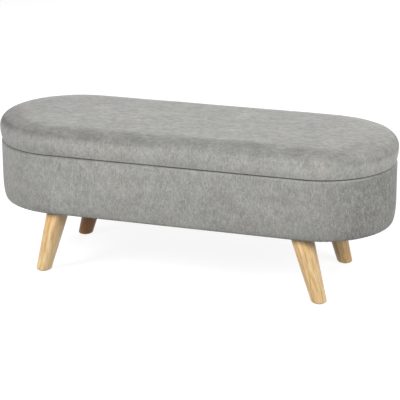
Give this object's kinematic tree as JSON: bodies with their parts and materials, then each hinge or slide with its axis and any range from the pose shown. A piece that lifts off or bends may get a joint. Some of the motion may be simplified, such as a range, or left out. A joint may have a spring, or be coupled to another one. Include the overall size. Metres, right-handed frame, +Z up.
{
  "type": "storage bench",
  "caption": "Oval upholstered storage bench with a padded lid hinged along its back and splayed, tapered wooden legs.",
  "frame": {"origin": "on the floor, under the middle of the bench", "axes": "+X along the bench's length, towards its right end seen from the front; -Y is its front; +Z up"},
  "size_m": [1.1214, 0.4229, 0.423],
  "materials": {
    "upholstery": "matte",
    "lining": "matte",
    "foam": "matte",
    "plywood": "matte",
    "leg_wood": "satin",
    "hardware": "satin",
    "glide": "matte",
    "bumper": "matte"
  },
  "bodies": {
    "box": {"base_board": "plywood", "front_panel": "plywood", "rear_panel": "plywood", "left_end_wall": "plywood", "right_end_wall": "plywood", "joint_strap_front_left": "plywood", "joint_strap_front_right": "plywood", "joint_strap_rear_left": "plywood", "joint_strap_rear_right": "plywood", "front_padding": "foam", "rear_padding": "foam", "left_padding": "foam", "right_padding": "foam", "box_cover": "upholstery", "wall_lining": "lining", "floor_panel": "lining", "dust_cover": "lining", "leg_front_left": "leg_wood", "leg_front_right": "leg_wood", "leg_rear_left": "leg_wood", "leg_rear_right": "leg_wood", "hanger_bolt_front_left": "hardware", "hanger_bolt_front_right": "hardware", "hanger_bolt_rear_left": "hardware", "hanger_bolt_rear_right": "hardware", "leg_nut_front_left": "hardware", "leg_nut_front_right": "hardware", "leg_nut_rear_left": "hardware", "leg_nut_rear_right": "hardware", "glide_front_left": "glide", "glide_front_right": "glide", "glide_rear_left": "glide", "glide_rear_right": "glide", "rubber_bumper_left": "bumper", "rubber_bumper_right": "bumper", "hinge_box_leaf_left": "hardware", "hinge_box_leaf_centre": "hardware", "hinge_box_leaf_right": "hardware", "hinge_pin_left": "hardware", "hinge_pin_centre": "hardware", "hinge_pin_right": "hardware", "hinge_box_screw_left_1": "hardware", "hinge_box_screw_left_2": "hardware", "hinge_box_screw_centre_1": "hardware", "hinge_box_screw_centre_2": "hardware", "hinge_box_screw_right_1": "hardware", "hinge_box_screw_right_2": "hardware"},
    "lid": {"lid_board": "plywood", "lid_foam": "foam", "lid_cover": "upholstery", "lid_lining": "lining", "hinge_lid_leaf_left": "hardware", "hinge_lid_leaf_centre": "hardware", "hinge_lid_leaf_right": "hardware", "hinge_lid_screw_left_1": "hardware", "hinge_lid_screw_left_2": "hardware", "hinge_lid_screw_centre_1": "hardware", "hinge_lid_screw_centre_2": "hardware", "hinge_lid_screw_right_1": "hardware", "hinge_lid_screw_right_2": "hardware"}
  },
  "joints": [
    {"name": "lid_hinge", "type": "hinge", "parent": "box", "child": "lid", "pos_m": [0, 0.2105, 0.352], "axis": [-1, 0, 0], "range_deg": [0, 95]}
  ]
}
